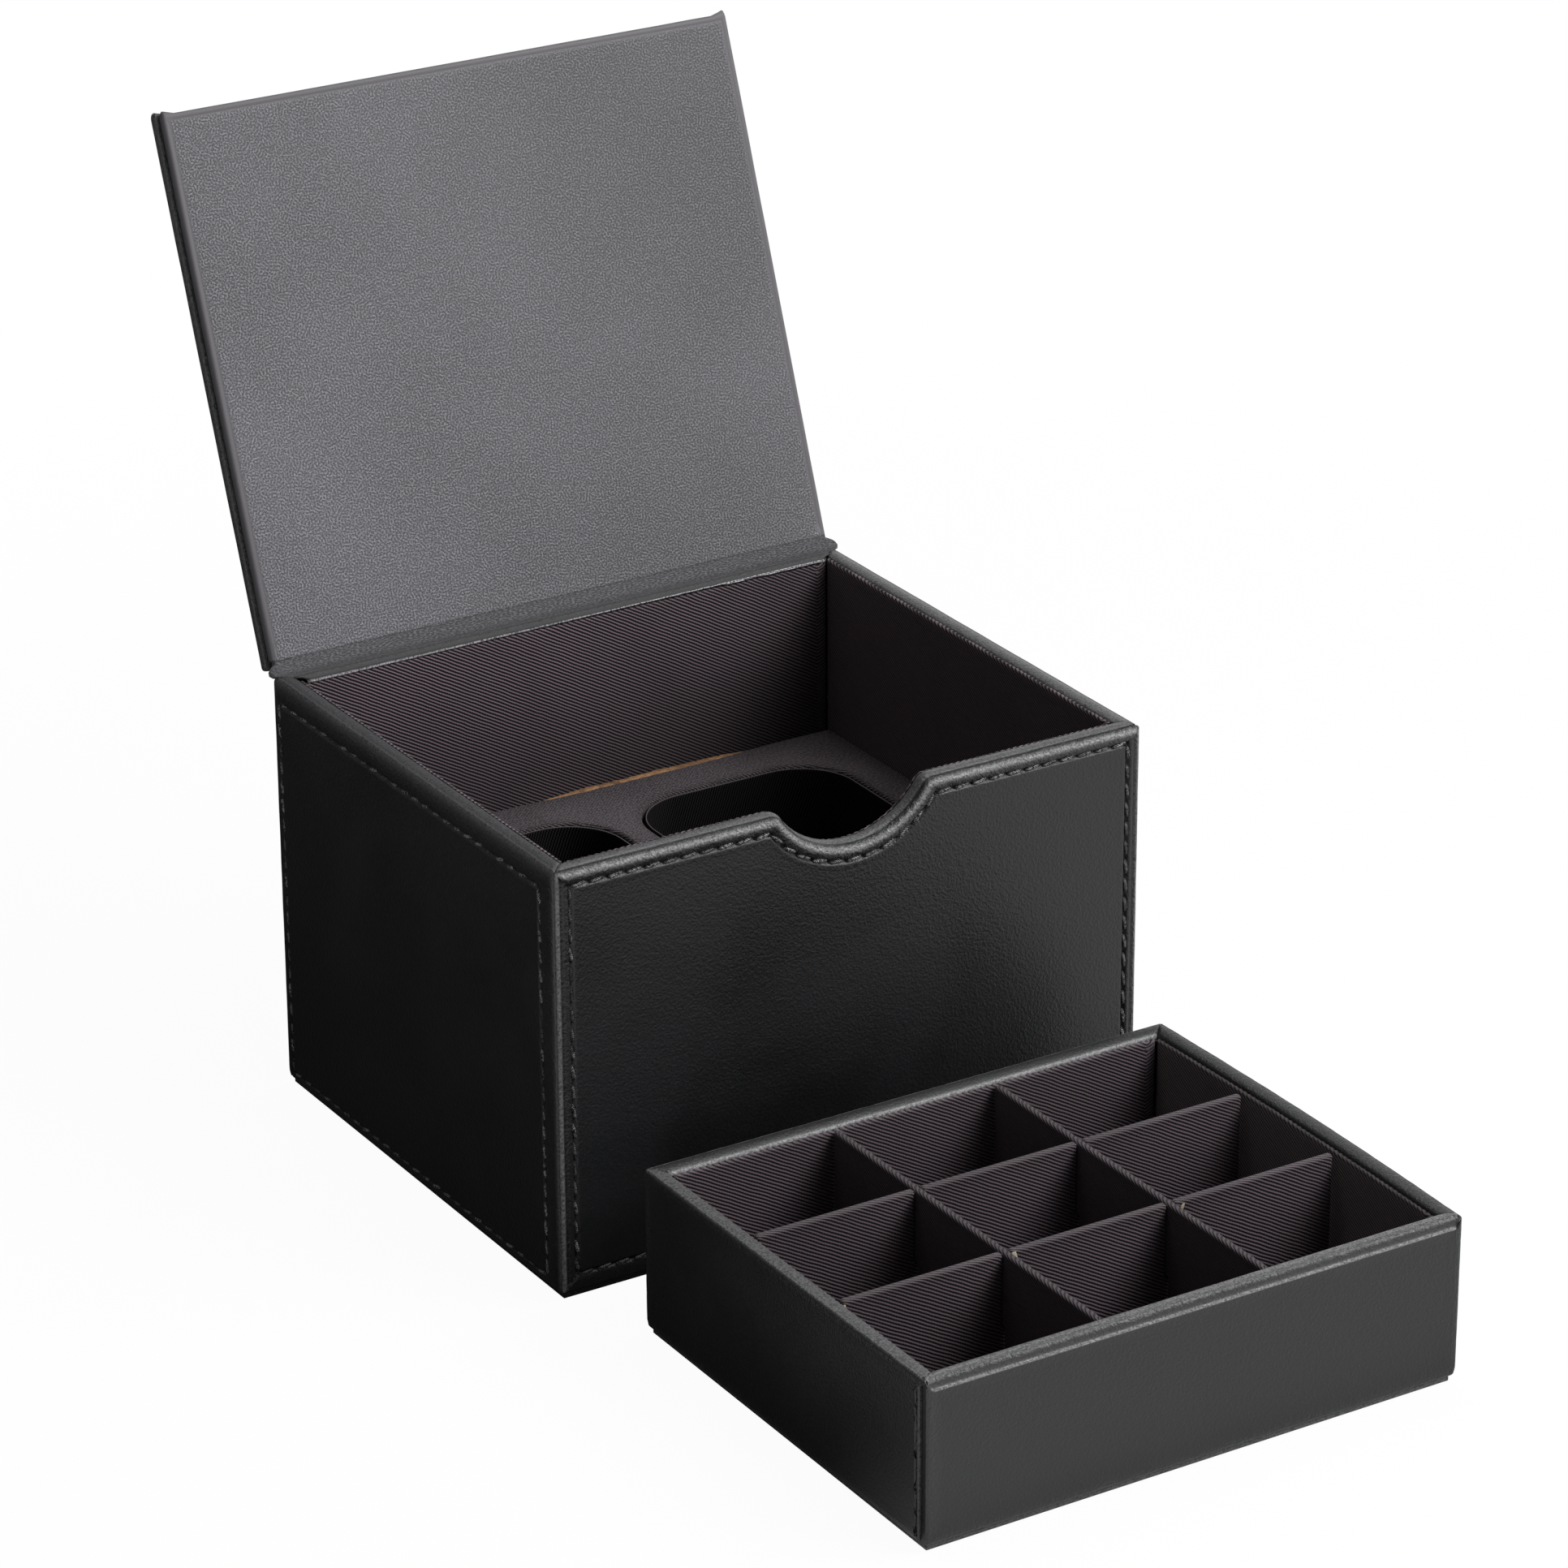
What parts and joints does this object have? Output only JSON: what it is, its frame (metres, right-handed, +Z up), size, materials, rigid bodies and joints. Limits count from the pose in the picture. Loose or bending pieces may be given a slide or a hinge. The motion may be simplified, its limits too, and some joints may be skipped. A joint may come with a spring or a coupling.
{
  "type": "jewelry box",
  "caption": "Leather-covered jewelry box with a hinged lid, a thumb notch, a fixed insert with wells, and a lift-out tray divided into small cells.",
  "frame": {"origin": "centre of the box's underside, on the surface that the box and its tray stand on", "axes": "+X to the right along the box's width, +Y from the front wall to the hinge at the back, +Z up"},
  "size_m": [0.18, 0.3705, 0.266],
  "materials": {
    "smooth_leather": "satin black, very fine grain",
    "grained_leather": "dark grey with a pebbled grain",
    "twill_lining": "plum grey twill",
    "plain_cloth": "plum grey plain weave",
    "grey_board": "raw grey board",
    "kraft_board": "raw brown board"
  },
  "bodies": {
    "box": {"base_cover": "smooth_leather", "base_card": "grey_board", "floor_board": "grey_board", "floor_lining": "twill_lining", "front_board": "grey_board", "front_cover": "smooth_leather", "front_lining": "twill_lining", "right_board": "grey_board", "right_cover": "smooth_leather", "right_lining": "twill_lining", "back_board": "grey_board", "back_cover": "smooth_leather", "back_lining": "twill_lining", "left_board": "grey_board", "left_cover": "smooth_leather", "left_lining": "twill_lining", "insert_board": "kraft_board", "insert_cloth": "plain_cloth", "left_well_liner": "twill_lining", "right_well_liner": "twill_lining", "hinge_flap": "smooth_leather"},
    "lid": {"lid_inner_cover": "grained_leather", "lid_inner_board": "grey_board", "lid_cover": "smooth_leather", "lid_board": "grey_board"},
    "tray": {"tray_base_cover": "smooth_leather", "tray_base_card": "grey_board", "tray_floor_board": "grey_board", "tray_floor_lining": "twill_lining", "tray_front_board": "grey_board", "tray_front_cover": "smooth_leather", "tray_front_lining": "twill_lining", "tray_right_board": "grey_board", "tray_right_cover": "smooth_leather", "tray_right_lining": "twill_lining", "tray_back_board": "grey_board", "tray_back_cover": "smooth_leather", "tray_back_lining": "twill_lining", "tray_left_board": "grey_board", "tray_left_cover": "smooth_leather", "tray_left_lining": "twill_lining", "tray_column_divider_1": "twill_lining", "tray_column_divider_2": "twill_lining", "tray_row_divider_1": "twill_lining", "tray_row_divider_2": "twill_lining"}
  },
  "joints": [
    {"name": "lid_hinge", "type": "hinge", "parent": "box", "child": "lid", "pos_m": [0, 0.07765, 0.1228], "axis": [1, 0, 0], "range_deg": [0, 110.6]},
    {"name": "tray_lift", "type": "slide", "parent": "box", "child": "tray", "axis": [0, 0, 1], "range_m": [0, 0.13]}
  ]
}
